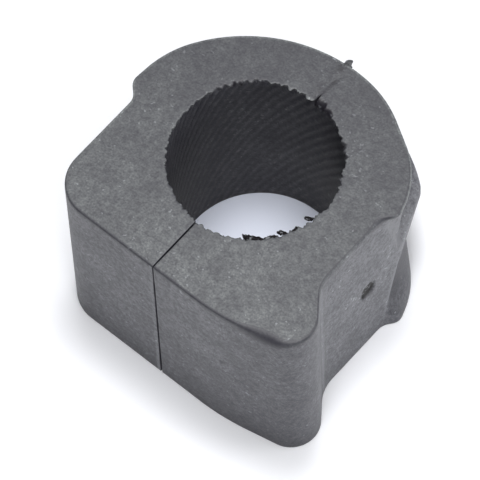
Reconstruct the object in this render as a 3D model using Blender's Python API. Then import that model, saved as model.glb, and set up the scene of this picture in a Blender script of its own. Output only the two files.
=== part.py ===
"""Sway bar bushing, one moulded rubber piece.

A D-shaped block grips a round bar.  Its bore runs along Z and carries fine helical ribs, its flat seat
faces -Y, and a slit from the bore to the seat lets it open over the bar.  Both ends share one outline
with a lobe over each flank.  Between the ends the outline draws in to a waist where the bracket strap
lies, and a raised band at mid-length keeps the bushing from sliding out of the strap.
The lower end face stands on Z = 0.  The block is drawn round the bore axis and then moved so that the
origin lies under the middle of its plan.
"""
import math

import bmesh
import bpy
from mathutils import Matrix, Vector

MM = 0.001

# Sizes of the whole block, in millimetres.
LENGTH = 39.5
BORE_RADIUS = 15.0
FLANK_WALL = 8.4
SEAT_WALL = 11.1
STRAP_WALL = 9.3
EDGE_ROUNDING = 0.5

# The seat and the foot that flares out of its right side.
SEAT_CORNER = 7.3
FOOT_START = 13.5
FOOT_REACH = 8.9
FOOT_LIFT = 3.8
FOOT_ROUNDING = 8.4
FOOT_HEIGHT = 15.1

# The lobes of the end outline and the crown between them.
RIGHT_SHOULDER = 4.9
LEFT_SHOULDER = 4.2
SHOULDER_STEP = 1.95
SHOULDER_RISE = 2.4
LOBE_RADIUS = 27.3
LOBE_ANGLE = 34.1
LOBE_END_RADIUS = 24.8
LOBE_END_ANGLE = 55.9
CROWN_RADIUS = 29.1
CROWN_SHIFT = 1.8
CROWN_DROP = 5.2
CROWN_START = 66.0
CROWN_END = 166.0

# The raised band at mid-length and the pads on which it runs out along the flanks.
BAND_RISE = 3.9
BAND_CREST = 2.0
BAND_FOOT = 6.6
BAND_END_ANGLE = 49.4
PAD_TOP = 9.7
PAD_SIDE = 7.6
PAD_LIP = 1.2

# The ribs of the bore, the slit and the mark that the mould's gate leaves on the right flank.
RIB_COUNT = 54
RIB_HEIGHT = 0.5
RIB_ANGLE = 29.5
BORE_DRAFT = 0.25
SLIT_WIDTH = 0.35
GATE_RADIUS = 1.9
GATE_DEPTH = 0.4
GATE_OFFSET = 1.3

# How finely each corner of an outline is drawn, in the order of the corners.
CORNER_STEPS = (8, 3, 9, 4, 3, 3, 6, 3, 4, 4, 4, 4, 4, 4, 3)
RIB_STEPS = 16


def flank():
    """Distance of each flank from the bore axis."""
    return BORE_RADIUS + FLANK_WALL


def polar(radius, degrees):
    """Point at a radius and an angle from the bore axis."""
    angle = math.radians(degrees)
    return radius * math.cos(angle), radius * math.sin(angle)


def arc_corners(centre, radius, start, stop, count):
    """Corners of the open polygon drawn round an arc; each is rounded back onto the arc."""
    step = math.radians(stop - start) / count
    reach = radius / math.cos(step / 2)
    setback = 0.96 * radius * math.tan(step / 2)
    corners = []
    for index in range(count):
        angle = math.radians(start) + step * (index + 0.5)
        corners.append((centre[0] + reach * math.cos(angle), centre[1] + reach * math.sin(angle), setback))
    return corners


def seat_corners():
    """The flat seat, its rounded left corner and the foot at its right, alike in every section."""
    seat = -(BORE_RADIUS + SEAT_WALL)
    return [
        (-flank(), seat, SEAT_CORNER),
        (FOOT_START, seat, FOOT_START * 0.35),
        (flank() + FOOT_REACH, seat + FOOT_LIFT, FOOT_ROUNDING),
        (flank(), seat + FOOT_HEIGHT, FOOT_ROUNDING * 0.3),
    ]


def end_corners():
    """Outline of both end faces: a stepped shoulder and a lobe over each flank, a crown between."""
    outer = flank() + SHOULDER_STEP
    ease = SHOULDER_STEP * 0.6
    return seat_corners() + [
        (flank(), RIGHT_SHOULDER, ease),
        (outer, RIGHT_SHOULDER + SHOULDER_RISE, ease),
        (*polar(LOBE_RADIUS, LOBE_ANGLE), LOBE_RADIUS * 0.22),
        (*polar(LOBE_END_RADIUS, LOBE_END_ANGLE), LOBE_END_RADIUS * 0.04),
        *arc_corners((CROWN_SHIFT, -CROWN_DROP), CROWN_RADIUS, CROWN_START, CROWN_END, 5),
        (-outer - 0.3 * SHOULDER_STEP, SHOULDER_RISE - LEFT_SHOULDER, ease),
        (-flank(), -LEFT_SHOULDER, ease),
    ]


def waist_corners():
    """Outline of the waist: the strap's arc, and the lips of the pads that end on the flanks."""
    radius = BORE_RADIUS + STRAP_WALL
    lip = math.degrees(math.atan2(PAD_SIDE + PAD_LIP, flank() - PAD_LIP))
    return seat_corners() + [
        (flank(), PAD_SIDE, PAD_LIP * 0.2),
        (flank() - PAD_LIP, PAD_SIDE + PAD_LIP, PAD_LIP * 0.4),
        *arc_corners((0, 0), radius, lip + 3, 177 - lip, 7),
        (PAD_LIP - flank(), PAD_SIDE + PAD_LIP, PAD_LIP * 0.4),
        (-flank(), PAD_SIDE, PAD_LIP * 0.2),
    ]


def band_corners():
    """Outline of the band: an arc that stops at a leaning facet over each flank."""
    radius = BORE_RADIUS + STRAP_WALL + BAND_RISE
    low = (flank(), PAD_TOP)
    high = polar(radius, BAND_END_ANGLE)
    facet = []
    for share, setback in ((0, 0.8), (0.3, 0.9), (0.65, 1.4), (1, 0.7)):
        x = low[0] + (high[0] - low[0]) * share
        y = low[1] + (high[1] - low[1]) * share
        facet.append((x, y, setback * BAND_RISE / 4))
    crown = arc_corners((0, 0), radius, BAND_END_ANGLE + 2, 178 - BAND_END_ANGLE, 3)
    mirrored = [(-x, y, setback) for x, y, setback in reversed(facet)]
    return seat_corners() + facet + crown + mirrored


def blend(first, second, share):
    """Corners part of the way from one outline to another."""
    return [tuple(a + (b - a) * share for a, b in zip(one, other)) for one, other in zip(first, second)]


def section_corners(height):
    """Corners of the outline at a height: end, waist or band, or part of the way between two."""
    from_end = min(height, LENGTH - height)
    waist = (LENGTH - BAND_FOOT) / 2
    crest = (LENGTH - BAND_CREST) / 2
    if from_end <= waist:
        return blend(end_corners(), waist_corners(), (from_end / waist) ** 2)
    climb = min(1, (from_end - waist) / (crest - waist))
    return blend(waist_corners(), band_corners(), climb * climb * (3 - 2 * climb))


def rounded_outline(corners, steps):
    """Points round an outline, with every corner replaced by a circular arc."""
    points = []
    for index, (x, y, setback) in enumerate(corners):
        corner = Vector((x, y))
        back = (Vector(corners[index - 1][:2]) - corner).normalized()
        ahead = (Vector(corners[(index + 1) % len(corners)][:2]) - corner).normalized()
        weight = math.cos((math.pi - back.angle(ahead)) / 2)
        for step in range(steps[index] + 1):
            t = step / steps[index]
            near, middle, far = (1 - t) ** 2, 2 * weight * t * (1 - t), t * t
            total = near + middle + far
            points.append((corner * total + back * setback * near + ahead * setback * far) / total)
    return points


def drawn_in(points, distance):
    """The same outline moved inwards by a distance."""
    moved = []
    for index, point in enumerate(points):
        along = (points[(index + 1) % len(points)] - points[index - 1]).normalized()
        moved.append(point + Vector((-along.y, along.x)) * distance)
    return moved


def section_heights():
    """Heights of the loft's sections and how far each is drawn in to round the end edges."""
    waist = (LENGTH - BAND_FOOT) / 2
    crest = (LENGTH - BAND_CREST) / 2
    lower = [(0, EDGE_ROUNDING), (EDGE_ROUNDING * 0.3, EDGE_ROUNDING * 0.3), (EDGE_ROUNDING, 0)]
    lower += [(waist * share, 0) for share in (0.15, 0.3, 0.45, 0.6, 0.75, 0.88, 1)]
    lower += [(waist + (crest - waist) * share, 0) for share in (0.25, 0.5, 0.75, 1)]
    upper = [(LENGTH - height, inset) for height, inset in reversed(lower)]
    return lower + upper


def block_mesh():
    """Closed skin of the block, lofted through the sections from the lower end to the upper."""
    shape = bmesh.new()
    rings = []
    for height, inset in section_heights():
        points = rounded_outline(section_corners(height), CORNER_STEPS)
        ring = [shape.verts.new((p.x * MM, p.y * MM, height * MM)) for p in drawn_in(points, inset)]
        rings.append(ring)
    for below, above in zip(rings, rings[1:]):
        for index, vert in enumerate(below):
            after = (index + 1) % len(below)
            side = shape.faces.new((vert, below[after], above[after], above[index]))
            side.smooth = True
    shape.faces.new(reversed(rings[0]))
    shape.faces.new(rings[-1])
    mesh = bpy.data.meshes.new("bushing_body")
    shape.to_mesh(mesh)
    shape.free()
    mesh.set_sharp_from_angle(angle=math.radians(50))
    return mesh


def rib_outline():
    """Points round the ribbed bore at its upper end: a narrow crest and a wider root for each rib."""
    points = []
    pitch = math.tau / RIB_COUNT
    for rib in range(RIB_COUNT):
        for share, height in ((-0.18, 0.5), (0.18, 0.5), (0.5, -0.5)):
            angle = pitch * (rib + share)
            radius = BORE_RADIUS - RIB_HEIGHT * height
            points.append(Vector((radius * math.cos(angle), radius * math.sin(angle))))
    return points


def bore_cutter(collection):
    """Ribbed prism that turns as it rises, so that it leaves left-handed helical ribs in the bore."""
    overrun = LENGTH * 0.05
    rise = (LENGTH + 2 * overrun) / RIB_STEPS
    turn = -rise * math.tan(math.radians(RIB_ANGLE)) / BORE_RADIUS
    shape = bmesh.new()
    verts = [shape.verts.new((p.x * MM, p.y * MM, -overrun * MM)) for p in rib_outline()]
    face = shape.faces.new(verts)
    bmesh.ops.spin(shape, geom=[face, *face.edges, *face.verts], cent=(0, 0, 0), axis=(0, 0, 1),
                   dvec=(0, 0, rise * MM), angle=turn * RIB_STEPS, steps=RIB_STEPS)
    for vert in shape.verts:
        below_top = LENGTH - vert.co.z / MM
        vert.co.xy *= 1 - BORE_DRAFT * below_top / (LENGTH * BORE_RADIUS)
    bmesh.ops.recalc_face_normals(shape, faces=shape.faces)
    for side in shape.faces:
        side.smooth = len(side.verts) == 4
    return cutter_object("bore_cutter", shape, collection)


def slit_cutter(collection):
    """Thin blade from inside the bore out through the seat."""
    inner = BORE_RADIUS / 2
    outer = BORE_RADIUS + SEAT_WALL + EDGE_ROUNDING
    shape = bmesh.new()
    bmesh.ops.create_cube(shape, size=1)
    bmesh.ops.scale(shape, verts=shape.verts,
                    vec=(SLIT_WIDTH * MM, (outer - inner) * MM, (LENGTH + 2 * EDGE_ROUNDING) * MM))
    bmesh.ops.translate(shape, verts=shape.verts, vec=(0, -(outer + inner) / 2 * MM, LENGTH / 2 * MM))
    return cutter_object("slit_cutter", shape, collection)


def gate_cutter(collection):
    """Short plug that leaves the shallow round gate mark on the right flank."""
    shape = bmesh.new()
    bmesh.ops.create_cone(shape, cap_ends=True, segments=20, radius1=GATE_RADIUS * MM,
                          radius2=GATE_RADIUS * MM, depth=2 * GATE_DEPTH * MM)
    bmesh.ops.rotate(shape, verts=shape.verts, matrix=quarter_turn())
    bmesh.ops.translate(shape, verts=shape.verts,
                        vec=(flank() * MM, GATE_OFFSET * MM, (LENGTH / 2 - GATE_OFFSET * 0.6) * MM))
    return cutter_object("gate_cutter", shape, collection)


def quarter_turn():
    """Rotation that lays the Z axis along X."""
    return Vector((0, 0, 1)).rotation_difference(Vector((1, 0, 0))).to_matrix()


def cutter_object(name, shape, collection):
    """Cutter from a finished shape, shown as wire and left out of the picture."""
    mesh = bpy.data.meshes.new(name)
    shape.to_mesh(mesh)
    shape.free()
    cutter = bpy.data.objects.new(name, mesh)
    cutter.hide_render = True
    cutter.display_type = "WIRE"
    collection.objects.link(cutter)
    return cutter


def cut(target, cutter):
    """Take a cutter's volume out of the target."""
    boolean = target.modifiers.new(cutter.name, "BOOLEAN")
    boolean.operation = "DIFFERENCE"
    boolean.solver = "EXACT"
    boolean.object = cutter


def rubber_material():
    """Matt grey-black moulded rubber."""
    material = bpy.data.materials.new("moulded_rubber")
    material.use_nodes = True
    shader = material.node_tree.nodes["Principled BSDF"]
    shader.inputs["Base Color"].default_value = (0.07, 0.07, 0.075, 1)
    shader.inputs["Roughness"].default_value = 0.85
    shader.inputs["Metallic"].default_value = 0
    return material


def new_collection(name):
    """Collection linked to the scene."""
    collection = bpy.data.collections.new(name)
    bpy.context.scene.collection.children.link(collection)
    return collection


def centre_on_plan(block, objects):
    """Move the objects so that the block's plan is centred over the origin."""
    across = [vert.co.x for vert in block.data.vertices]
    deep = [vert.co.y for vert in block.data.vertices]
    middle = Vector((min(across) + max(across), min(deep) + max(deep), 0)) / 2
    for item in objects:
        item.data.transform(Matrix.Translation(-middle))


def build():
    """Make the bushing and the cutters that shape it."""
    for old in list(bpy.data.objects):
        bpy.data.objects.remove(old, do_unlink=True)
    parts = new_collection("sway_bar_bushing")
    cutters = new_collection("cutters")
    body = bpy.data.objects.new("bushing_body", block_mesh())
    body.data.materials.append(rubber_material())
    parts.objects.link(body)
    tools = [bore_cutter(cutters), slit_cutter(cutters), gate_cutter(cutters)]
    centre_on_plan(body, [body, *tools])
    for tool in tools:
        cut(body, tool)


build()
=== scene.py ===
# %% [markdown]
# # A sway bar bushing of moulded rubber
# A sway bar bushing is one block of rubber that grips a steel bar and is strapped to the chassis.
# It is moulded in one shot: a D-shaped block with a flat seat, a round bore with fine helical ribs, and a
# slit that lets it open over the bar.  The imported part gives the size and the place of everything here.
# This lesson wraps it in one fine surface, gives that surface the finish of worn moulded rubber, and lights
# it as on a white studio table.

# %% Load the part and keep its box
import math

import bpy
import numpy as np
from mathutils import Matrix, Vector


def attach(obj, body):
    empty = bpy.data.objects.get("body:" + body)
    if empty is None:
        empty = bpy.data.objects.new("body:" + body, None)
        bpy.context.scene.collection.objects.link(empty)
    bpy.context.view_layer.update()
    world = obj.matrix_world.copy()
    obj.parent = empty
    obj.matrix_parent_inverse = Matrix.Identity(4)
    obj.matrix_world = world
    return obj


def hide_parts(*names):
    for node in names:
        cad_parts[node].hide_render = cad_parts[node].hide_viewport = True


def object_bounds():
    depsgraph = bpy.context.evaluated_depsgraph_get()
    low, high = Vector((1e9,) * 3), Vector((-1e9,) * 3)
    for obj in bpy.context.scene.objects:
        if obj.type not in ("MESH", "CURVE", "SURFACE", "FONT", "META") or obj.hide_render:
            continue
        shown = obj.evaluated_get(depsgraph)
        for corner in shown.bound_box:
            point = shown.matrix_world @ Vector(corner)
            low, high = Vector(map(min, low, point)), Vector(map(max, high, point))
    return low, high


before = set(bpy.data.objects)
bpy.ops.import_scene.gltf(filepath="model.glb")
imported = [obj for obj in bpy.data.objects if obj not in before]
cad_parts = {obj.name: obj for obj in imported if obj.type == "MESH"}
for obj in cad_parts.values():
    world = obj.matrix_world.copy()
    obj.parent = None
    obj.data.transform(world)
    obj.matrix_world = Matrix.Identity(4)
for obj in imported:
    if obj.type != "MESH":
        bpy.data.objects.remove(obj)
cad_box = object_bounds()
MM = 0.001
TURN = 2 * np.pi
print("box of the part in mm:", [tuple(round(c / MM, 2) for c in corner) for corner in cad_box])

# %% [markdown]
# ## Where the bore is
# Every shape below is drawn round the bore, because the bore is what the real tool is centred on.  The
# frame's own points say where its axis stands: those that lie nearest the middle of the plan belong to the
# bore's wall, and the middle of their box is the axis.

# %% Find the bore's axis
BORE_RADIUS = 15.0
NEAR_BORE = 1.15


def mesh_points(mesh):
    """All the points of a mesh as an array of x, y, z in millimetres."""
    flat = np.zeros(len(mesh.vertices) * 3, np.float32)
    mesh.vertices.foreach_get("co", flat)
    return flat.reshape(-1, 3).astype(float) / MM


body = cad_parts["bushing_body"]
points = mesh_points(body.data)
wall = points[np.hypot(points[:, 0], points[:, 1]) < NEAR_BORE * BORE_RADIUS]
bore_axis = (wall[:, :2].min(0) + wall[:, :2].max(0)) / 2
LENGTH = (cad_box[1].z - cad_box[0].z) / MM
print("bore axis in mm:", bore_axis.round(3), "length:", round(LENGTH, 2))

# %% [markdown]
# ## The outline as a list of corners
# The block has no simple primitive: its section is a D with a foot, two shoulders and two lobes.  A designer
# draws such a section as a few straight runs with rounded corners, so each corner here is a point and a
# setback, which says how far from the corner the rounding starts.  Three outlines are enough, because every
# other section lies between them: the end faces, the waist where the strap lies, and the raised band.

# %% Sizes of the section, in millimetres from the bore's axis
FLANK = 23.4
SEAT = -26.1
SEAT_CORNER = 7.3
FOOT_START = 13.5
FOOT_TIP = (32.3, -22.3)
FOOT_TOP = -11.0
FOOT_ROUNDING = 8.4

WAIST_RADIUS = 24.3
LOBE_DEPTH = 7.0
PAD_SIDE = 9.0
PAD_LIP = 1.2
BAND_RADIUS = 28.2
BAND_END_ANGLE = 49.4
PAD_TOP = 9.7
BAND_CREST = 2.0
BAND_FOOT = 6.6


def polar(radius, degrees):
    """Point at a radius and an angle from the bore's axis."""
    angle = np.radians(degrees)
    return radius * np.cos(angle), radius * np.sin(angle)


def arc_corners(centre, radius, start, stop, count):
    """Corners of the open polygon drawn round an arc, whose rounded corners give the arc back."""
    step = np.radians(stop - start) / count
    angle = np.radians(start) + step * (np.arange(count) + 0.5)
    reach = radius / np.cos(step / 2)
    setback = np.full(count, 0.98 * radius * np.tan(step / 2))
    return list(zip(centre[0] + reach * np.cos(angle), centre[1] + reach * np.sin(angle), setback))


SEAT_CORNERS = [
    (-FLANK, SEAT, SEAT_CORNER),
    (FOOT_START, SEAT, 0.35 * FOOT_START),
    (*FOOT_TIP, FOOT_ROUNDING),
    (FLANK, FOOT_TOP, 0.3 * FOOT_ROUNDING),
]

# %% [markdown]
# ### The three outlines
# Both end faces carry a stepped shoulder and a lobe over each flank, and a crown between the lobes.  In the
# waist the lobes are gone and a plain arc remains, and the band is a larger arc that stops at a leaning
# facet over each flank.  All three lists have the same number of corners in the same order, so any section
# between two of them is a plain mean of the lists.

# %% Corners of the end, the waist and the band
END_CORNERS = SEAT_CORNERS + [
    (FLANK, 4.9, 1.2),
    (25.35, 7.3, 1.2),
    (*polar(27.3, 34.1), 6.0),
    (*polar(24.8, 55.9), 1.0),
    *arc_corners((1.8, -5.2), 29.1, 66, 166, 5),
    (-25.9, -1.8, 1.2),
    (-FLANK, -4.2, 1.0),
]
lip_angle = np.degrees(np.arctan2(PAD_SIDE + PAD_LIP, FLANK - PAD_LIP))
WAIST_CORNERS = SEAT_CORNERS + [
    (FLANK, PAD_SIDE, 0.2 * PAD_LIP),
    (FLANK - PAD_LIP, PAD_SIDE + PAD_LIP, 0.4 * PAD_LIP),
    *arc_corners((0, 0), WAIST_RADIUS, lip_angle + 3, 177 - lip_angle, 7),
    (PAD_LIP - FLANK, PAD_SIDE + PAD_LIP, 0.4 * PAD_LIP),
    (-FLANK, PAD_SIDE, 0.2 * PAD_LIP),
]
facet_foot = np.array((FLANK, PAD_TOP))
facet_head = np.array(polar(BAND_RADIUS, BAND_END_ANGLE))
facet = [(*(facet_foot + (facet_head - facet_foot) * share), setback)
         for share, setback in ((0, 0.8), (0.3, 0.9), (0.65, 1.4), (1, 0.7))]
BAND_CORNERS = (
    SEAT_CORNERS
    + facet
    + arc_corners((0, 0), BAND_RADIUS, BAND_END_ANGLE + 2, 178 - BAND_END_ANGLE, 3)
    + [(-x, y, setback) for x, y, setback in reversed(facet)]
)
end_outline = np.array(END_CORNERS, float)
waist_outline = np.array(WAIST_CORNERS, float)
band_outline = np.array(BAND_CORNERS, float)
print("corners in each outline:", len(end_outline), len(waist_outline), len(band_outline))

# %% [markdown]
# ### From corners to a radius
# The surface asks one question: how far is the skin from the bore's axis, at this height and in this
# direction?  The corners are rounded into circular arcs, the outline is read as an angle and a radius, and a
# table over height and direction answers for any point by a straight mean of its four neighbours.

# %% Sections at any height, and the table of radii
ARC_SAMPLES = 14
RUN_SAMPLES = 26
TABLE_HEIGHTS = 181
TABLE_COLUMNS = 1441
PAD_EDGES = [4, 5, 13, 14]


def smooth(share):
    """Climb from 0 to 1 that starts and ends level: 3t^2 - 2t^3."""
    share = np.clip(share, 0, 1)
    return share * share * (3 - 2 * share)


def section_corners(height):
    """Corners at each height.  From the end to the waist the mean follows the square of the distance from
    the end, and from the waist to the band's crest it follows a smooth climb.  The corners of a pad's edge
    slant evenly along the flank instead, and step outwards or inwards within the depth of the lobe."""
    from_end = np.minimum(height, LENGTH - height)[:, None, None]
    waist = (LENGTH - BAND_FOOT) / 2
    crest = (LENGTH - BAND_CREST) / 2
    along = np.clip(from_end / waist, 0, 1)
    raised = (band_outline - waist_outline) * smooth((from_end - waist) / (crest - waist))
    corners = end_outline + (waist_outline - end_outline) * along ** 2 + raised
    share = np.concatenate([smooth(from_end / LOBE_DEPTH), along, along], axis=-1)
    slanting = end_outline + (waist_outline - end_outline) * share + raised
    corners[:, PAD_EDGES] = slanting[:, PAD_EDGES]
    return corners


def rounded(corners):
    """Points round each outline.  Near a corner a point is the mean of the arc's start, the corner and the
    arc's end, with weights (1-t)^2, 2wt(1-t) and t^2, where w is the sine of half the corner's angle: that
    curve is a true arc of a circle.  Straight runs join each arc to the next."""
    spot, setback = corners[..., :2], corners[..., 2:]
    back = np.roll(spot, 1, axis=1) - spot
    ahead = np.roll(spot, -1, axis=1) - spot
    back /= np.linalg.norm(back, axis=-1, keepdims=True)
    ahead /= np.linalg.norm(ahead, axis=-1, keepdims=True)
    weight = np.sqrt((1 - (back * ahead).sum(-1)) / 2)[..., None, None]
    t = np.linspace(0, 1, ARC_SAMPLES)[:, None]
    near, middle, far = (1 - t) ** 2, 2 * weight * t * (1 - t), t * t
    pull = (back * setback)[..., None, :] * near + (ahead * setback)[..., None, :] * far
    arcs = spot[..., None, :] + pull / (near + middle + far)
    share = np.linspace(0, 1, RUN_SAMPLES + 2)[1:-1, None]
    start, stop = arcs[:, :, -1:], np.roll(arcs, -1, axis=1)[:, :, :1]
    runs = start + (stop - start) * share
    return np.concatenate([arcs, runs], axis=2).reshape(len(corners), -1, 2)


table_height = np.linspace(0, LENGTH, TABLE_HEIGHTS)
table_turn = np.linspace(0, TURN, TABLE_COLUMNS)
outline = rounded(section_corners(table_height))
outline_turn = (np.arctan2(outline[..., 1], outline[..., 0]) + np.pi / 2) % TURN
outline_radius = np.hypot(outline[..., 0], outline[..., 1])
radius_table = np.stack([np.interp(table_turn, turn, radius, period=TURN)
                         for turn, radius in zip(outline_turn, outline_radius)])
print("radius of the skin in mm, least and most:", radius_table.min().round(2), radius_table.max().round(2))


def skin_radius(turn, height):
    """Radius of the outer skin.  Turn is the angle from the slit, anticlockwise from above."""
    row = np.clip(height / LENGTH, 0, 1) * (TABLE_HEIGHTS - 1)
    column = turn / TURN * (TABLE_COLUMNS - 1)
    top = np.minimum(row.astype(int), TABLE_HEIGHTS - 2)
    left = np.minimum(column.astype(int), TABLE_COLUMNS - 2)
    down, across = row - top, column - left
    below = radius_table[top, left] * (1 - across) + radius_table[top, left + 1] * across
    above = radius_table[top + 1, left] * (1 - across) + radius_table[top + 1, left + 1] * across
    return below * (1 - down) + above * down


# %% [markdown]
# ## Roughness that repeats
# Torn rubber, flash and a moulded face are never quite regular.  The irregularity is value noise: a table of
# seeded random numbers, read between its entries with a smooth mean, so the same torn edge comes out at
# every run.

# %% Seeded noise on one or two parameters
def rough(u, v=0.0, seed=0, size=64):
    """Value noise from -1 to 1.  Whole numbers of u and v fall on random values, and between them the value
    is a smooth mean of the four that stand round the point."""
    table = np.random.default_rng(seed).uniform(-1, 1, (size, size))
    u, v = np.broadcast_arrays(np.asarray(u, float), np.asarray(v, float))
    i, j = np.floor(u).astype(int), np.floor(v).astype(int)
    a, b = smooth(u - i), smooth(v - j)
    near = table[i % size, j % size] * (1 - a) + table[(i + 1) % size, j % size] * a
    far = table[i % size, (j + 1) % size] * (1 - a) + table[(i + 1) % size, (j + 1) % size] * a
    return near * (1 - b) + far * b


# %% [markdown]
# ## The ribs of the bore
# The ribs are the part's finest work.  The mould's core is a screw with 54 shallow starts that turn left as
# they rise, so rubber stands up between them and bites the bar.  The wall is a wave in the angle whose phase
# moves with the height, and the draft that lets the core out makes the bore a little narrower lower down.

# %% Bore wall as a wave
RIB_COUNT = 54
RIB_HEIGHT = 0.14
RIB_FADE = 2.0
RIM_FRAY = 0.16
FRAY_DEPTH = 0.9
RIB_ANGLE = 29.5
BORE_DRAFT = 0.25
RIB_SHARPNESS = 0.35
RIM_TEETH = 1.7
SHALLOW, SHALLOW_TURN, SHALLOW_SPREAD = 0.6, 300, 55
CALM_START, CALM_STOP = np.radians((160, 181))


def rib_wave(turn, height):
    """Wave of the ribs from -1 in a root to 1 on a crest: a cosine with a little of its second harmonic,
    which makes the crest narrower than the root."""
    twist = -np.tan(np.radians(RIB_ANGLE)) / BORE_RADIUS
    phase = RIB_COUNT * (turn - np.pi / 2 - twist * (height - LENGTH))
    uneven = 1 + 0.4 * rough(phase / TURN, height / 6, seed=5)
    return uneven * (np.cos(phase) + RIB_SHARPNESS * np.cos(2 * phase) / 2) / (1 + RIB_SHARPNESS / 2)


def bore_radius(turn, height):
    """Radius of the bore's wall: the drafted radius less the ribs, which die out at the lower end and stand
    lower on the left.  Noise grows towards the upper end by an exponential, because the ribs are torn there;
    beside the scar the rim chipped off smoothly instead."""
    narrowed = BORE_DRAFT * (1 - height / LENGTH)
    torn = np.exp((height - LENGTH) / FRAY_DEPTH)
    fray = RIM_FRAY * torn * (rough(turn * 60, height * 2, seed=6) + rough(turn * 23, height, seed=7))
    fray *= 1 - 0.8 * smooth((turn - CALM_START) / 0.05) * smooth((CALM_STOP - turn) / 0.05)
    shallow = 1 - SHALLOW * np.exp(-(((np.degrees(turn) - SHALLOW_TURN) / SHALLOW_SPREAD) ** 2))
    rib = RIB_HEIGHT * shallow * smooth(height / RIB_FADE) * (1 + RIM_TEETH * torn)
    return BORE_RADIUS - narrowed - rib / 2 * rib_wave(turn, height) + fray


print("ribs stand", RIB_HEIGHT, "mm high,", round(TURN * BORE_RADIUS / RIB_COUNT, 2), "mm apart round the bore")

# %% [markdown]
# ## Flash on the bore's rim
# Where the core met the mould's end plate, rubber crept into the joint and was torn off by hand.  What is
# left round the upper rim are thin tabs that reach inwards, and chips where the rim itself tore away.  Each
# is a range of angles with a reach or a depth, and noise frays its edge.

# %% Tabs and chips round the rim
# Each row holds a start and a stop in degrees from the slit, a reach or depth in mm, and how frayed it is.
RIM_TABS = (
    (179.0, 186.0, 0.4, 0.5),
    (195.0, 199.0, 0.35, 0.4),
    (30.0, 88.0, 0.22, 1.1),
    (112.0, 124.0, 0.15, 1.2),
    (325.0, 356.0, 0.15, 0.2),
)
RIM_CHIPS = (
    (177.3, 179.3, 1.4, 0.1),
    (170.0, 178.3, 0.85, 0.05),
    (162.0, 173.0, 0.45, 0.05),
    (128.0, 150.0, 0.2, 1.0),
    (212.0, 250.0, 0.2, 1.1),
)
FRAY_DEGREES = 1.6
END_DEGREES = 0.9
FLASH_THICKNESS = 0.35


def rim_marks(turn, rows, seed):
    """Largest of the rows' plateaus at each angle.  A plateau has quick ends, and noise with a tooth every
    degree and a half frays it."""
    degrees = np.degrees(turn)
    fray = rough(degrees / FRAY_DEGREES, seed=seed)
    amount = np.zeros_like(turn)
    for start, stop, size, ragged in rows:
        plateau = smooth((degrees - start) / END_DEGREES) * smooth((stop - degrees) / END_DEGREES)
        amount = np.maximum(amount, plateau * size * (1 + ragged * fray))
    return amount


# %% [markdown]
# ## One surface from slit to slit
# The whole bushing is one sheet that has been rolled up.  The first parameter runs round the bore, from one
# face of the slit to the other.  The second runs round the thickness: up the outer wall, over the rim,
# inwards across the upper face, down the ribbed bore, and outwards across the lower face back to the start.
# Made as one grid the skin has no seams, and its rims are rounded wherever the mould rounded them.

# %% Rows of the sheet: the outer wall
COLUMNS = 600
EDGE_ROUNDING = 0.35
ROUNDER_EDGES = (
    # degrees from the slit, degrees of spread, and how much is added to the rounding: foot and shoulder
    (44, 7.0, 1.05),
    (101, 4.0, 0.4),
)

turn = np.linspace(0, TURN, COLUMNS + 1)
upper_edge = np.full_like(turn, EDGE_ROUNDING)
lower_edge = np.full_like(turn, EDGE_ROUNDING)
for middle, spread, more in ROUNDER_EDGES:
    upper_edge += more * np.exp(-(((np.degrees(turn) - middle) / spread) ** 2))


def slant(turn, height):
    """How much longer a step along the radius is than the same step square to the skin: the root of one
    plus the square of the radius's slope over the radius."""
    step = 0.003
    ahead, behind = skin_radius((turn + step) % TURN, height), skin_radius((turn - step) % TURN, height)
    slope = (ahead - behind) / (2 * step)
    return np.sqrt(1 + np.clip(slope / skin_radius(turn, height), -1.2, 1.2) ** 2)


def wall_shares():
    """Heights of the wall's rows as shares: close together over the band, wider apart elsewhere."""
    middle = np.linspace(0.38, 0.62, 25)
    ends = np.concatenate([[0, 0.022], np.linspace(0.045, 0.38, 16)[:-1]])
    return np.concatenate([ends, middle, 1 - ends[::-1]])[:, None]


wall_height = lower_edge + wall_shares() * (LENGTH - lower_edge - upper_edge)
wall_radius = skin_radius(turn, wall_height)
print("rows up the outer wall:", len(wall_height))

# %% [markdown]
# ### Rims, faces and bore
# A rounded rim is a quarter circle: as the angle goes from level to upright the skin moves in by r(1 - cos)
# and up by r sin.  The foot's rim is rounder than the rest, so r depends on where round the bore it is.

# %% Rows of the sheet: rims, faces and bore
RIM_STEPS = 5
FACE_ROWS = 9
BORE_ROWS = 62
BORE_EDGE = 0.15
TAB_UNDERSIDE = 0.08
RIM_BORDER = 0.2
SCAR_TURN = 180
SCAR_WIDTH = 0.7
SCAR_RISE = 0.15


def rim_rows(edge, angles, upper):
    """Quarter circle over an edge: moved in by r(1 - cos) and up by r sin from where the rounding starts."""
    angle = np.radians(angles)[:, None]
    rise = edge * (1 - np.sin(angle))
    height = LENGTH - rise if upper else rise
    inset = edge * (1 - np.cos(angle))
    return skin_radius(turn, height) - inset * slant(turn, height), height


def face_rows(start, stop, count):
    """Rows across a flat face, outwards or inwards: one close inside each rim, and equal steps between."""
    middle = start + (stop - start) * np.linspace(0, 1, count)[1:-1, None]
    border = RIM_BORDER * np.sign(stop - start)
    return np.concatenate([[start + border], middle, [stop - border]])


rim_angles = np.linspace(0, 90, RIM_STEPS + 1)[1:]
upper_rim, upper_rim_height = rim_rows(upper_edge, rim_angles, upper=True)
lower_rim, lower_rim_height = rim_rows(lower_edge, rim_angles[::-1], upper=False)

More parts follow.
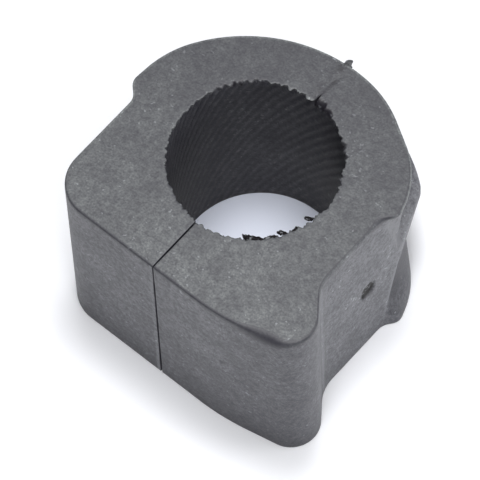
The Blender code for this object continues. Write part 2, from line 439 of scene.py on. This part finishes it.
reach = rim_marks(turn, RIM_TABS, seed=3)
chip = rim_marks(turn, RIM_CHIPS, seed=4)
bore_top = bore_radius(turn, np.full_like(turn, LENGTH))
bore_foot = bore_radius(turn, np.zeros_like(turn))
tab_radius = np.stack([
    bore_top + BORE_EDGE + chip,
    bore_top + BORE_EDGE / 3 - reach * 0.6 + chip * 0.85,
    bore_top - reach + chip * 0.5,
    bore_top - reach * 0.9 + chip * 0.2,
    bore_top - reach * 0.3,
])
tab_height = LENGTH - np.stack([
    0 * turn,
    0.03 + chip * 0.1,
    0.1 + chip * 0.35,
    0.15 + FLASH_THICKNESS * smooth(reach) + chip * 0.8,
    BORE_EDGE + TAB_UNDERSIDE + FLASH_THICKNESS * smooth(reach) * 1.2 + chip * 1.2,
])
top_face = face_rows(upper_rim[-1], tab_radius[0], FACE_ROWS)
bottom_face = face_rows(bore_foot + BORE_EDGE, lower_rim[0], FACE_ROWS // 2)

across_scar = (np.radians(SCAR_TURN) - turn) * top_face / SCAR_WIDTH
wander = 0.8 * rough(top_face * 0.7, seed=11)
broken = np.clip(0.5 + 1.1 * rough(top_face * 0.9, across_scar, seed=12), 0, 1)
scar = np.exp(-((across_scar + wander) ** 2)) * broken
top_height = LENGTH + SCAR_RISE * scar * rough(top_face * 2.3, across_scar, seed=13)

bore_start = LENGTH - 0.6 - 1.3 * chip
bore_height = bore_start + (BORE_EDGE - bore_start) * np.linspace(0, 1, BORE_ROWS)[:, None]
bore_wall = bore_radius(turn, bore_height)
foot_edge_radius = bore_foot + BORE_EDGE
print("rows in all:", len(wall_radius) + 2 * RIM_STEPS + FACE_ROWS + 5 + BORE_ROWS + 1 + FACE_ROWS // 2)

# %% [markdown]
# ### The gate mark
# Rubber was pushed into the mould through a gate on the right flank, and the sprue was twisted off when the
# part was still warm.  It leaves a shallow round scar with a torn floor.  On the grid it is a dent: inside a
# ragged circle the wall moves in, and noise breaks up its floor.

# %% Dent the wall at the gate
GATE_PLACE = (1.38, 18.9)
GATE_RADIUS = 2.15
GATE_DEPTH = 0.5

wall_x, wall_y = wall_radius * np.sin(turn), -wall_radius * np.cos(turn)
off_y, off_z = wall_y - GATE_PLACE[0], wall_height - GATE_PLACE[1]
bearing = np.arctan2(off_z, off_y)
ragged_radius = GATE_RADIUS * (1 + 0.14 * rough((bearing + np.pi) * 2.5, seed=21))
inside = smooth((ragged_radius - np.hypot(off_y, off_z)) / 0.45) * (wall_x > 0)
torn_floor = 0.35 * rough(wall_y * 3.1, wall_height * 3.1, seed=22)
wall_radius = wall_radius - inside * GATE_DEPTH * (1 + torn_floor)
print("deepest point of the gate mark in mm:", round(float((inside * GATE_DEPTH * (1 + torn_floor)).max()), 2))

# %% [markdown]
# ### Marks that the finish will follow
# Bloom, a pale dust that rubber sweats out, lies on the flat faces and is rubbed off the rims.  Torn rubber
# is darker and browner than moulded skin.  Both are stored on the points of the grid as numbers from 0 to a
# little over 1, worked out row by row beside the shape, so the finish can follow the form exactly.  The bloom
# numbers also carry painted light: painted highlights on the pad's lip, the fold, the slit's edge and the outer
# rim, and painted shade low on the wall, in the hollow under the band and beside the fold.

# %% Bloom and torn marks for every row
WALL_MARKS = (
    # degrees from the slit, bloom and painted light at the upper end, and how far the upper rim is rubbed clean
    # The peak at 61 degrees is a painted highlight on the fold between foot and flank. The low value at 45
    # degrees is partly painted shade on the foot.
    (0, 0.95, 0.9), (25, 0.92, 0.9), (45, 0.7, 1.0), (58, 0.75, 0.8), (61, 1.2, 0.7), (65, 1.0, 0.6),
    # From 109 degrees the raised bloom is partly painted light on the band's facet.
    (95, 1.15, 0.5), (100, 0.95, 0.9), (104, 1.05, 0.9), (109, 1.15, 0.0), (130, 1.0, 0.0), (150, 0.9, 0.0),
    (300, 0.95, 0.05), (312, 1.0, 0.35), (330, 0.95, 0.9),
)
WEAR_AND_PAINTED_LIGHT_SPOTS = (
    # degrees from the slit, height, half-width and half-height in mm, and the bloom and painted light added
    (47.9, 34.3, 0.8, 0.22, 0.5), (47.2, 24.6, 1.1, 0.4, 0.35), (48.4, 23.7, 0.6, 0.25, 0.3),
    # The tall spot at 64.7 degrees is a painted highlight along the fold between foot and flank.
    (28.5, 21.8, 0.3, 0.5, -0.8), (30.0, 22.4, 0.5, 0.25, -0.4), (64.7, 20.0, 0.35, 30.0, 0.9),
    # The tall spot at 66.3 degrees is painted shade beside that fold, and the two under the rim at 41 and 36
    # degrees darken the foot's wide rounded rim, partly bare rubber and partly painted shade.
    (66.3, 20.0, 0.4, 30.0, -0.12), (41.0, 37.9, 3.2, 0.8, -0.6), (36.0, 38.6, 3.0, 0.4, -0.35),
)

# %% [markdown]
# ### Bloom and painted light on the wall
# The wall is painted darker low down, and darker still on the seat and foot near the table, as painted shade.
# On the right flank a thin painted highlight follows the lip of the pad.  The hollow past it, under the band,
# is painted darker as shade, and that fades out gradually round the back.  The shelf past the lip over the band
# is painted lighter, as painted light.

# %% Bloom and painted light and shade on the wall's rows
LOW_SHADE_LEVEL = 0.65
FLOOR_SHADE = 0.35
FLOOR_SHADE_HEIGHT = 6.0
# The values below place a painted highlight along the pad's lip, painted shade in the hollow under the band,
# and painted light on the shelf over the band.
LIP_START = 4.9
LIP_SLOPE = 0.25
LIP_HIGHLIGHT = 1.0
RECESS_SHADE = 0.82
RECESS_FADE = 1.0
RECESS_END = 170
SHELF_LIGHT = 0.35
LIP_HALF_WIDTH = 0.5
LIP_OFFSET = 0.3

degrees, bloom_there, rubbed_there = np.array(WALL_MARKS).T
rubbed = np.interp(np.degrees(turn), degrees, rubbed_there, period=360)
wall_bloom = np.interp(np.degrees(turn), degrees, bloom_there, period=360)
# Painted shade: darker low on the wall, and darker still on the seat and foot near the table.
wall_bloom = wall_bloom * (LOW_SHADE_LEVEL + (1 - LOW_SHADE_LEVEL) * wall_height / LENGTH) * (1 - inside)
wall_bloom *= 1 - FLOOR_SHADE * np.exp(-wall_height / FLOOR_SHADE_HEIGHT) * (wall_y < FOOT_TOP)
past_lip = wall_y - LIP_START - LIP_SLOPE * np.minimum(wall_height, LENGTH - wall_height)
right_side = (wall_x > 0) * smooth((np.radians(RECESS_END) - turn) / RECESS_FADE)
# Masks of the painted highlight on the lip, the painted shade in the hollow and the painted light on the shelf.
lip_highlight = right_side * smooth((LENGTH / 2 - wall_height) / 0.8) * smooth(wall_height / 9)
recess_shade_mask = right_side * smooth((LENGTH / 2 - wall_height) / 8) * smooth(wall_height / 8)
shelf_light = right_side * smooth((wall_height - LENGTH / 2) / 0.8 + 1)
# Painted shade in the hollow, painted light on the shelf, and a painted highlight along the lip.
wall_bloom *= 1 - RECESS_SHADE * recess_shade_mask * smooth(past_lip / 1.2)
wall_bloom *= 1 + SHELF_LIGHT * shelf_light * smooth(past_lip / 0.5)
wall_bloom += LIP_HIGHLIGHT * lip_highlight * np.exp(-(((past_lip + LIP_OFFSET) / LIP_HALF_WIDTH) ** 2))
for spot_turn, spot_height, half_width, half_height, more in WEAR_AND_PAINTED_LIGHT_SPOTS:
    across = (turn - np.radians(spot_turn)) * wall_radius / half_width
    wall_bloom += more * np.exp(-(across ** 2) - ((wall_height - spot_height) / half_height) ** 2)
wall_bloom = np.clip(wall_bloom, 0, None)
wall_bloom[-1] *= 1 - 0.7 * rubbed
# Painted highlight along the left edge of the slit, on the last columns of the wall.
wall_bloom[:, -3:] = 1.25
print("bloom on the wall, least and most:", wall_bloom.min().round(2), wall_bloom.max().round(2))

# %% Bloom on the rims and faces, and all the blocks in order
RIM_HIGHLIGHT_STOP = 145
TOP_BACK_LEVEL = 0.25
TOP_FRONT_LEVEL = 0.54
BORE_BLOOM = 0.26

# Up to the stop angle the upper rim's outer rows are painted light as a highlight and its inner rows are left
# dark, where the rim is not rubbed.
rim_highlight_share = smooth((RIM_HIGHLIGHT_STOP - np.degrees(turn)) / 20)
rim_bloom = 0.1 + (1 - rubbed) * (0.8 + rim_highlight_share * np.linspace(0.7, -0.8, RIM_STEPS)[:, None])
# The top face gets less bloom than the walls; in part that is painted light, with the walls painted lighter
# than the top.  Its bloom rises from the back value to the front value, so the top face is lighter towards the
# front.
forward_share = smooth(0.43 + (top_face * (np.cos(turn) + 0.2 * np.sin(turn))) / 60)
top_bloom = TOP_BACK_LEVEL + (TOP_FRONT_LEVEL - TOP_BACK_LEVEL) * forward_share
blocks = [
    # radius, height, bloom with painted light and shade, torn, and whether the block is bore wall
    (wall_radius, wall_height, wall_bloom, inside, 0),
    (upper_rim, upper_rim_height, rim_bloom, 0.0, 0),
    (top_face, top_height, top_bloom * (1 - 0.7 * scar), 0.5 * scar, 0),
    (tab_radius, tab_height, 0.45 - 0.45 * smooth(chip * 2), 0.5 * smooth(chip * 2), 0),
    (bore_wall, bore_height, BORE_BLOOM * (1 + 0.4 * rib_wave(turn, bore_height)), 0.0, 1),
    (foot_edge_radius[None], 0 * turn[None], 0.3, 0.0, 0),
    (bottom_face, 0 * bottom_face, 0.5, 0.0, 0),
    (lower_rim, lower_rim_height, 0.15, 0.0, 0),
]


def stack(part):
    """One layer of all the blocks on top of each other, each stretched to the shape of its radii."""
    return np.concatenate([np.broadcast_to(block[part], block[0].shape) for block in blocks])


radius, height, bloom, torn, in_bore = (stack(part) for part in range(5))
print("grid of", radius.shape[0], "rows and", radius.shape[1], "columns")

# %% [markdown]
# ### Opening the slit
# The slit was cut with a blade after moulding, so its faces are parallel and not radial.  The sheet's two
# ends meet at the slit's middle plane, and this step pushes them apart by half the slit's width, with a push
# that fades to nothing a few millimetres away.  The edges of the cut are then rounded by a few narrower
# copies of the end loop.

# %% Place the sheet in space and open the slit
SLIT_WIDTH_TOP = 0.24
SLIT_WIDTH_FOOT = 0.32
SLIT_EDGE = 0.08
SLIT_WAVER = 0.05
SLIT_FADE = 6.0


def half_slit(height):
    """Half the slit's width, which grows a little towards the lower end."""
    return (SLIT_WIDTH_FOOT + (SLIT_WIDTH_TOP - SLIT_WIDTH_FOOT) * height / LENGTH) / 2


x, y = radius * np.sin(turn), -radius * np.cos(turn)
side = np.where(turn < np.pi, 1.0, -1.0)
gap = half_slit(height) + SLIT_EDGE + SLIT_WAVER * rough(height * 0.9, radius * 0.5, seed=15)
fade = np.clip(1 - np.abs(x) / SLIT_FADE, 0, 1) * (y < 0)
x = side * (np.abs(x) + gap * fade)


def inset_loop(y, z, distance):
    """The end loop moved inwards: each point goes square to the line between its neighbours."""
    along_y, along_z = np.roll(y, -1) - np.roll(y, 1), np.roll(z, -1) - np.roll(z, 1)
    length = np.hypot(along_y, along_z)
    return y + distance * along_z / length, z - distance * along_y / length


def end_columns(column, side):
    """Columns that round the slit's edge: the loop shrinks by r(1 - cos) as it nears the slit by r sin."""
    made = []
    for angle in np.radians((30, 60, 90)):
        loop_y, loop_z = inset_loop(y[:, column], height[:, column], SLIT_EDGE * (1 - np.cos(angle)))
        made.append((x[:, column] - side * SLIT_EDGE * np.sin(angle), loop_y, loop_z))
    return made


first = end_columns(0, 1)[::-1]
last = end_columns(-1, -1)
grid = np.stack([
    np.column_stack([*(c[axis] for c in first), layer, *(c[axis] for c in last)])
    for axis, layer in enumerate((x, y, height))
], axis=-1)
grid[..., :2] += bore_axis


def widened(layer, value):
    """A layer of marks with the slit's extra columns added, which all take one value."""
    return np.pad(layer, ((0, 0), (3, 3)), constant_values=value)


bloom, torn, in_bore = widened(bloom, 0.1), widened(torn, 0.0), widened(in_bore, 0)
print("slit is", SLIT_WIDTH_TOP, "mm wide at the top and", SLIT_WIDTH_FOOT, "mm at the foot")

# %% [markdown]
# ### Grid to mesh
# The grid's points go in as one array.  Each square of the grid becomes a face, the rows close into a loop,
# and the two ends are capped with one face each, which are the faces of the slit.

# %% Build the mesh and store the marks
def sheet_mesh(name, grid, marks):
    """Closed mesh from a grid whose rows form a loop: squares between the rows and columns, and a cap on
    the first and the last column."""
    rows, columns = grid.shape[:2]
    index = np.arange(rows * columns).reshape(rows, columns)
    above = np.roll(index, -1, axis=0)
    squares = np.stack([index[:, :-1], index[:, 1:], above[:, 1:], above[:, :-1]], axis=-1).reshape(-1, 4)
    caps = [index[:, 0].tolist(), index[::-1, -1].tolist()]
    mesh = bpy.data.meshes.new(name)
    mesh.from_pydata((grid * MM).reshape(-1, 3), [], squares.tolist() + caps)
    mesh.validate()
    for mark, layer in marks.items():
        attribute = mesh.attributes.new(mark, "FLOAT", "POINT")
        attribute.data.foreach_set("value", layer.astype(np.float32).ravel())
    mesh.shade_smooth()
    mesh.set_sharp_from_angle(angle=np.radians(55))
    return mesh


def add_object(name, mesh):
    """Object at the origin, linked to the scene, with its place in its mesh."""
    made = bpy.data.objects.new(name, mesh)
    bpy.context.scene.collection.objects.link(made)
    return made


marks = dict(bloom=bloom, torn=torn, bore=in_bore)
bushing = add_object("rubber_bushing", sheet_mesh("rubber_bushing", grid, marks))
print("triangles in the bushing:", sum(len(p.vertices) - 2 for p in bushing.data.polygons))

# %% [markdown]
# ## The curled nub
# At the outer end of the scar a shred of flash was never trimmed.  It stands out from the crown as a small
# curled horn.  A tube does it: a circle carried along a bending path, flattened and narrowed to the tip.

# %% Carry a shrinking circle along a curled path
NUB_LENGTH = 1.65
NUB_THICKNESS = 0.85
NUB_HEADING = (128, 52)
NUB_STEPS = 16
NUB_SIDES = 16


def nub_grid():
    """Rows along the path and columns round it.  The path's heading turns evenly from the first angle to
    the second, so the path is an arc; the tube's half-widths shrink as the root of what is left."""
    along = np.linspace(0, 1, NUB_STEPS)
    heading = np.radians(NUB_HEADING[0] + (NUB_HEADING[1] - NUB_HEADING[0]) * along)
    step = NUB_LENGTH / (NUB_STEPS - 1)
    path = np.cumsum(np.column_stack([np.cos(heading), np.sin(heading)]) * step, axis=0)
    root = skin_radius(np.array([np.pi]), np.array([LENGTH]))[0] - EDGE_ROUNDING
    width = NUB_THICKNESS * np.sqrt(np.clip(1.03 - along, 0, 1)) * (1 + 0.15 * rough(along * 6, seed=31))
    angle = np.linspace(0, TURN, NUB_SIDES, endpoint=False)
    across = np.cos(angle) * width[:, None]
    up = np.sin(angle) * width[:, None] * 0.8
    px = 0.25 + path[:, :1] - np.sin(heading)[:, None] * across
    py = root + path[:, 1:] + np.cos(heading)[:, None] * across
    pz = LENGTH - EDGE_ROUNDING - 0.1 + up
    return np.stack([px + bore_axis[0], py + bore_axis[1], pz], axis=-1)


def tube_mesh(name, grids, **marks):
    """Closed tubes from grids of rings, all of one size: squares between the rings and a cap on each end."""
    rows, columns = grids[0].shape[:2]
    index = np.arange(len(grids) * rows * columns).reshape(len(grids), rows, columns)
    beside = np.roll(index, -1, axis=2)
    squares = np.stack([index[:, :-1], beside[:, :-1], beside[:, 1:], index[:, 1:]], axis=-1).reshape(-1, 4)
    caps = [*index[:, 0, ::-1].tolist(), *index[:, -1].tolist()]
    mesh = bpy.data.meshes.new(name)
    mesh.from_pydata((np.concatenate(grids) * MM).reshape(-1, 3), [], squares.tolist() + caps)
    for mark, value in marks.items():
        attribute = mesh.attributes.new(mark, "FLOAT", "POINT")
        attribute.data.foreach_set("value", np.full(index.size, value, np.float32))
    mesh.shade_smooth()
    return mesh


nub = add_object("flash_nub", tube_mesh("flash_nub", [nub_grid()], bloom=0.5, torn=0.3))
print("triangles in the nub:", sum(len(p.vertices) - 2 for p in nub.data.polygons))

# %% [markdown]
# ## Shreds on the near rim
# On the near side of the bore the flash tore off in lumps, and what is left are dark rolled shreds that
# cling to the rim.  Each is a tube along a few chosen points round the rim, and noise makes it lumpy.

# %% Roll the shreds along the rim
# Each shred is a list of points: degrees from the slit, radius and half-thickness, in mm.
RIM_SHREDS = (
    ((31.6, 14.0, 0.15), (33.0, 14.45, 0.4), (36.5, 14.6, 0.62), (41.0, 14.7, 0.5), (44.0, 14.85, 0.4),
     (47.0, 15.0, 0.15)),
    ((45.0, 14.9, 0.15), (49.0, 14.7, 0.36), (53.0, 14.7, 0.34), (55.5, 14.8, 0.15)),
    ((55.2, 14.0, 0.15), (57.0, 14.25, 0.42), (59.5, 14.4, 0.42), (62.0, 14.8, 0.15)),
    ((63.0, 14.9, 0.12), (66.5, 14.7, 0.26), (69.0, 14.45, 0.26), (71.0, 14.8, 0.12)),
    ((77.2, 13.8, 0.25), (78.6, 13.95, 0.5), (80.0, 14.3, 0.42), (82.5, 14.8, 0.15)),
)
SHRED_STEPS = 40
SHRED_SIDES = 14
SHRED_SINK = 0.25


def shred_grid(points, seed):
    """Rings along a shred.  Degrees, radius and thickness run between the points by a smooth mean, the path
    follows them round the rim, and each ring is a circle whose radius is roughened by noise."""
    degrees, radius, half = np.array(points, float).T
    step = np.linspace(0, len(points) - 1, SHRED_STEPS)
    left = np.minimum(step.astype(int), len(points) - 2)
    share = smooth(step - left)
    degrees, radius, half = (a[left] + (a[left + 1] - a[left]) * share for a in (degrees, radius, half))
    turn, angle = np.radians(degrees), np.linspace(0, TURN, SHRED_SIDES, endpoint=False)[::-1]
    lumps = 1 + 0.3 * rough(step[:, None] * 4.3, angle * SHRED_SIDES / TURN * 0.5, seed=seed)
    out = radius[:, None] + half[:, None] * lumps * np.cos(angle)
    up = LENGTH - SHRED_SINK + half[:, None] * lumps * np.sin(angle)
    return np.stack([out * np.sin(turn)[:, None] + bore_axis[0],
                     -out * np.cos(turn)[:, None] + bore_axis[1], up], axis=-1)


shred_grids = [shred_grid(points, seed=40 + number) for number, points in enumerate(RIM_SHREDS)]
shreds = add_object("rim_shreds", tube_mesh("rim_shreds", shred_grids, bloom=0.0, torn=0.9, bore=1.0))
print("triangles in the shreds:", sum(len(p.vertices) - 2 for p in shreds.data.polygons))

# %% [markdown]
# ## Moulded rubber
# The block is carbon-filled natural rubber, moulded against a spark-eroded steel tool.  Carbon makes it
# near black, and the tool leaves a fine matt grain, so it throws no clear highlight.  Bloom and talc turn the
# flat faces mid grey, in grains and specks, while rubbed rims, the inside of the bore and torn places stay
# dark.  A plain dark shader with the bloom laid over it as a mask gives both at once.  The same mask also
# lays on the painted highlights and painted shade that the grid carries.

# %% Helpers for materials
def linear(hex_colour):
    """Linear colour from an sRGB hex string, by the sRGB curve."""
    value = np.array([int(hex_colour[i:i + 2], 16) for i in (1, 3, 5)]) / 255
    value = np.where(value <= 0.04045, value / 12.92, ((value + 0.055) / 1.055) ** 2.4)
    return (*value, 1.0)


def add_node(tree, kind, settings=None, **links):
    """Adds a node, sets its properties, and fills its inputs with values or with other nodes' outputs."""
    node = tree.nodes.new(kind)
    for name, value in (settings or {}).items():
        setattr(node, name, value)
    for name, value in links.items():
        socket = node.inputs[int(name[1:])] if name[0] == "_" else node.inputs[name.replace("_", " ")]
        if isinstance(value, bpy.types.NodeSocket):
            tree.links.new(value, socket)
        else:
            socket.default_value = value
    return node


def per_mm(size):
    """Scale of a pattern in object coordinates so that one grain of it is so many millimetres wide."""
    return 1 / (size * MM)


def new_material(name):
    """Empty node material and its tree."""
    material = bpy.data.materials.new(name)
    material.use_nodes = True
    material.node_tree.nodes.clear()
    return material, material.node_tree


# %% Moulded rubber with bloom, specks and torn places
CLEAN_RUBBER = "#2c2b34"
BLOOM_ON_ENDS = "#777b7b"
BLOOM_ON_WALLS = "#78797e"
TORN_RUBBER = "#171415"
TALC = "#a9adb2"
GRAIN = 0.36
MOTTLE = 1.0
CLOUD = 6.0
SPECK = 0.75


def moulded_rubber():
    """Near-black rubber under a grey bloom that lies on the flats and is rubbed off the rims; the mask also
    lays painted light and shade.
    """
    material, tree = new_material("moulded_rubber")
    place = add_node(tree, "ShaderNodeTexCoord").outputs["Object"]
    bloom = add_node(tree, "ShaderNodeAttribute", dict(attribute_name="bloom")).outputs["Fac"]
    torn = add_node(tree, "ShaderNodeAttribute", dict(attribute_name="torn")).outputs["Fac"]
    in_bore = add_node(tree, "ShaderNodeAttribute", dict(attribute_name="bore")).outputs["Fac"]

    grain = add_node(tree, "ShaderNodeTexNoise", Vector=place, Scale=per_mm(GRAIN), Detail=2.0,
                     Roughness=0.6).outputs["Fac"]
    mottle = add_node(tree, "ShaderNodeTexNoise", Vector=place, Scale=per_mm(MOTTLE), Detail=3.0,
                      Roughness=0.55).outputs["Fac"]
    cloud = add_node(tree, "ShaderNodeTexNoise", Vector=place, Scale=per_mm(CLOUD), Detail=1.0).outputs["Fac"]

    grainy = add_node(tree, "ShaderNodeMapRange", _0=grain, _1=0.3, _2=0.7, _3=0.45, _4=1.3).outputs[0]
    patchy = add_node(tree, "ShaderNodeMapRange", _0=mottle, _1=0.3, _2=0.7, _3=0.5, _4=1.3).outputs[0]
    cloudy = add_node(tree, "ShaderNodeMapRange", _0=cloud, _1=0.3, _2=0.7, _3=0.76, _4=1.16).outputs[0]
    cover = bloom
    for share in (grainy, patchy, cloudy):
        cover = add_node(tree, "ShaderNodeMath", dict(operation="MULTIPLY"), _0=cover, _1=share).outputs[0]

    up = add_node(tree, "ShaderNodeSeparateXYZ", Vector=place).outputs[2]
    tint = add_node(tree, "ShaderNodeMapRange", _0=up, _1=(LENGTH - 1) * MM, _2=LENGTH * MM, _3=1.0,
                    _4=0.15).outputs[0]
    bloom_colour = add_node(tree, "ShaderNodeMix", dict(data_type="RGBA"), _0=tint,
                            _6=linear(BLOOM_ON_ENDS), _7=linear(BLOOM_ON_WALLS)).outputs[2]
    colour = add_node(tree, "ShaderNodeMix", dict(data_type="RGBA"), _0=cover,
                      _6=linear(CLEAN_RUBBER), _7=bloom_colour).outputs[2]

    dust = add_node(tree, "ShaderNodeTexNoise", Vector=place, Scale=per_mm(SPECK), Detail=1.0).outputs["Fac"]
    thick = add_node(tree, "ShaderNodeMapRange", _0=cloud, _1=0.4, _2=0.7, _3=0.74, _4=0.66).outputs[0]
    speck = add_node(tree, "ShaderNodeMath", dict(operation="SUBTRACT"), _0=dust, _1=thick).outputs[0]
    speck = add_node(tree, "ShaderNodeMapRange", _0=speck, _1=0.0, _2=0.06, _3=0.0, _4=0.7).outputs[0]
    speck = add_node(tree, "ShaderNodeMath", dict(operation="MULTIPLY"), _0=speck, _1=bloom).outputs[0]
    colour = add_node(tree, "ShaderNodeMix", dict(data_type="RGBA"), _0=speck, _6=colour,
                      _7=linear(TALC)).outputs[2]
    crumb = add_node(tree, "ShaderNodeMapRange", _0=dust, _1=0.6, _2=0.68, _3=0.0, _4=0.4).outputs[0]
    torn_colour = add_node(tree, "ShaderNodeMix", dict(data_type="RGBA"), _0=crumb,
                           _6=linear(TORN_RUBBER), _7=linear(TALC)).outputs[2]
    colour = add_node(tree, "ShaderNodeMix", dict(data_type="RGBA"), _0=torn, _6=colour,
                      _7=torn_colour).outputs[2]

    relief = add_node(tree, "ShaderNodeMath", dict(operation="MULTIPLY_ADD"), _0=mottle, _1=0.6,
                      _2=grain).outputs[0]
    bump = add_node(tree, "ShaderNodeBump", Strength=0.6, Distance=0.06 * MM, Height=relief).outputs[0]
    sheen = add_node(tree, "ShaderNodeMapRange", _0=in_bore, _3=0.5, _4=0.1).outputs[0]
    shader = add_node(tree, "ShaderNodeBsdfPrincipled", Base_Color=colour, Roughness=0.5, Normal=bump,
                      IOR=1.52, Specular_IOR_Level=sheen)
    add_node(tree, "ShaderNodeOutputMaterial", Surface=shader.outputs[0])
    return material


rubber = moulded_rubber()
pieces = (bushing, nub, shreds)
for piece in pieces:
    piece.data.materials.append(rubber)
print("made the rubber with", len(rubber.node_tree.nodes), "nodes")

# %% [markdown]
# ## The table, the light and the camera
# The part stands on a white table.  Two lamps hang almost straight overhead, so the shadow is short, a wide
# panel lights the front from above, and a low fill lamp lights the right flank.  The white table throws light
# back onto the walls.  To the camera alone the world is pure white, and the table nearly so.

# %% White table and world
TABLE_SIZE = 3.0
TABLE_WHITE = "#e6e7ea"
SEEN_WHITE = "#fafbff"
# Painted cooler tint of the table inside the bore, standing in for the bluish light there.
PAINTED_BORE_TINT = "#e8edfb"


def white_table():
    """Matt white board.  The camera sees it a little whiter than the part does, and inside the bore it has a
    painted cooler tint that stands in for the bluish light there."""
    material, tree = new_material("matt_white_board")
    place = add_node(tree, "ShaderNodeTexCoord").outputs["Object"]
    from_axis = add_node(tree, "ShaderNodeVectorMath", dict(operation="DISTANCE"), _0=place,
                         _1=(bore_axis[0] * MM, bore_axis[1] * MM, 0)).outputs["Value"]
    inside = add_node(tree, "ShaderNodeMath", dict(operation="LESS_THAN"), _0=from_axis,
                      _1=BORE_RADIUS * MM).outputs[0]
    white = add_node(tree, "ShaderNodeMix", dict(data_type="RGBA"), _0=inside, _6=linear(SEEN_WHITE),
                     _7=linear(PAINTED_BORE_TINT)).outputs[2]
    ray = add_node(tree, "ShaderNodeLightPath")
    seen = add_node(tree, "ShaderNodeMath", dict(operation="MAXIMUM"), _0=ray.outputs["Is Camera Ray"],
                    _1=ray.outputs["Is Transmission Ray"]).outputs[0]
    colour = add_node(tree, "ShaderNodeMix", dict(data_type="RGBA"), _0=seen, _6=linear(TABLE_WHITE),
                      _7=white).outputs[2]
    board = add_node(tree, "ShaderNodeBsdfDiffuse", Color=colour).outputs[0]
    add_node(tree, "ShaderNodeOutputMaterial", Surface=board)
    return material


corner = TABLE_SIZE / 2
floor_mesh = bpy.data.meshes.new("white_table")
floor_mesh.from_pydata([(-corner, -corner, 0), (corner, -corner, 0), (corner, corner, 0), (-corner, corner, 0)],
                       [], [(0, 1, 2, 3)])
floor_mesh.materials.append(white_table())
table = add_object("white_table", floor_mesh)

WORLD_STRENGTH = 0.02
world = bpy.data.worlds.new("light_tent")
world.use_nodes = True
tent = world.node_tree
tent.nodes.clear()
ray = add_node(tent, "ShaderNodeLightPath")
seen = add_node(tent, "ShaderNodeMath", dict(operation="MAXIMUM"), _0=ray.outputs["Is Camera Ray"],
                _1=ray.outputs["Is Transmission Ray"]).outputs[0]
strength = add_node(tent, "ShaderNodeMapRange", _0=seen, _3=WORLD_STRENGTH, _4=1.0).outputs[0]
sky = add_node(tent, "ShaderNodeBackground", Color=(1, 1, 1, 1), Strength=strength).outputs[0]
add_node(tent, "ShaderNodeOutputWorld", Surface=sky)
bpy.context.scene.world = world

# %% Lamps
def area_lamp(name, place, size, power):
    """Square lamp at a place, aimed at the part's middle."""
    data = bpy.data.lights.new(name, "AREA")
    data.shape = "SQUARE"
    data.size = size
    data.energy = power
    lamp = bpy.data.objects.new(name, data)
    aim = Vector((0, 0, LENGTH * MM / 2)) - Vector(place)
    lamp.rotation_euler = aim.to_track_quat("-Z", "Y").to_euler()
    lamp.location = place
    bpy.context.scene.collection.objects.link(lamp)
    return lamp


key = area_lamp("key_lamp", (-0.071, 0.086, 0.79), 0.16, 2.4)
top_panel = area_lamp("top_panel", (0.02, 0.05, 0.8), 0.32, 2.4)
front_panel = area_lamp("front_panel", (0.25, -0.3, 0.7), 0.4, 3.4)
fill = area_lamp("fill_lamp", (0.6, 0.45, 0.25), 0.4, 2.1)
print("lamps stand", [round(lamp.location.length, 2) for lamp in (key, top_panel, front_panel, fill)], "m away")

# %% [markdown]
# ### The camera
# The photograph was taken with a long lens from high on the right.  The camera is placed at a point and
# turned by the direction it looks along and the direction of its right side, with its up square to both.

# %% Camera
LENS = 392.8
CAMERA_PLACE = (0.281286, -0.305224, 0.807853)
CAMERA_FORWARD = (-0.31701, 0.33605, -0.88689)
CAMERA_RIGHT = (0.75956, 0.64995, -0.02522)

forward = Vector(CAMERA_FORWARD).normalized()
right = Vector(CAMERA_RIGHT).normalized()
up = right.cross(forward)
camera_data = bpy.data.cameras.new("camera")
camera_data.lens = LENS
camera_data.sensor_width = 36
camera_data.clip_start = 0.05
camera = bpy.data.objects.new("camera", camera_data)
turned = Matrix((right, up, -forward)).transposed().to_4x4()
camera.matrix_world = Matrix.Translation(CAMERA_PLACE) @ turned
bpy.context.scene.collection.objects.link(camera)
bpy.context.scene.camera = camera
bpy.context.scene.view_settings.view_transform = "Standard"
print("camera looks down by", round(math.degrees(math.asin(-forward.z)), 1), "degrees")

# %% Tie the pieces to the part and hide the part's own mesh
for piece in pieces:
    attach(piece, "root")
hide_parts("bushing_body")
